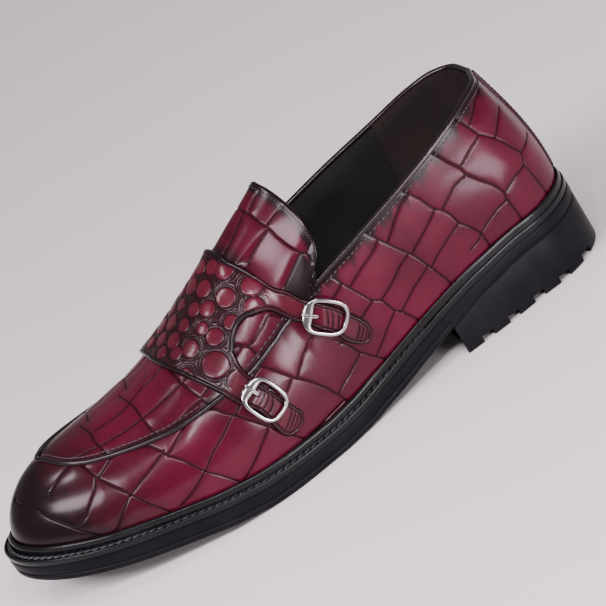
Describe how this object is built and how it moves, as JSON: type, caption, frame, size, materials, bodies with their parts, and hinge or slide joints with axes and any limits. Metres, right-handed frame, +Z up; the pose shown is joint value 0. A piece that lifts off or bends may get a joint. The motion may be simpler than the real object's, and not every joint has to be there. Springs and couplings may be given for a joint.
{
  "type": "buckle loafer",
  "caption": "Left slip-on shoe of crocodile-grain burgundy leather with an apron seam, a forked saddle strap with decorative buckles and a lugged heel.",
  "frame": {"origin": "on the floor under the middle of the box round the shoe", "axes": "-Y points from heel to toe, +X to the wearer's outer side, +Z up from the floor"},
  "size_m": [0.1052, 0.305, 0.1126],
  "materials": {
    "upper": "polished, crocodile grain",
    "strap": "polished, round-scale crocodile grain, burnished edges",
    "lining": "matt smooth leather",
    "outsole": "satin moulded rubber",
    "welt": "glossy rubber with a stitched channel",
    "buckle": "polished nickel"
  },
  "bodies": {
    "root": {"outsole": "outsole", "welt": "welt", "upper": "upper", "tongue": "upper", "insole": "lining", "saddle_strap": "strap", "back_strip": "strap", "buckle_rear": "buckle", "buckle_front": "buckle", "prong_rear": "buckle", "prong_front": "buckle"}
  },
  "joints": []
}
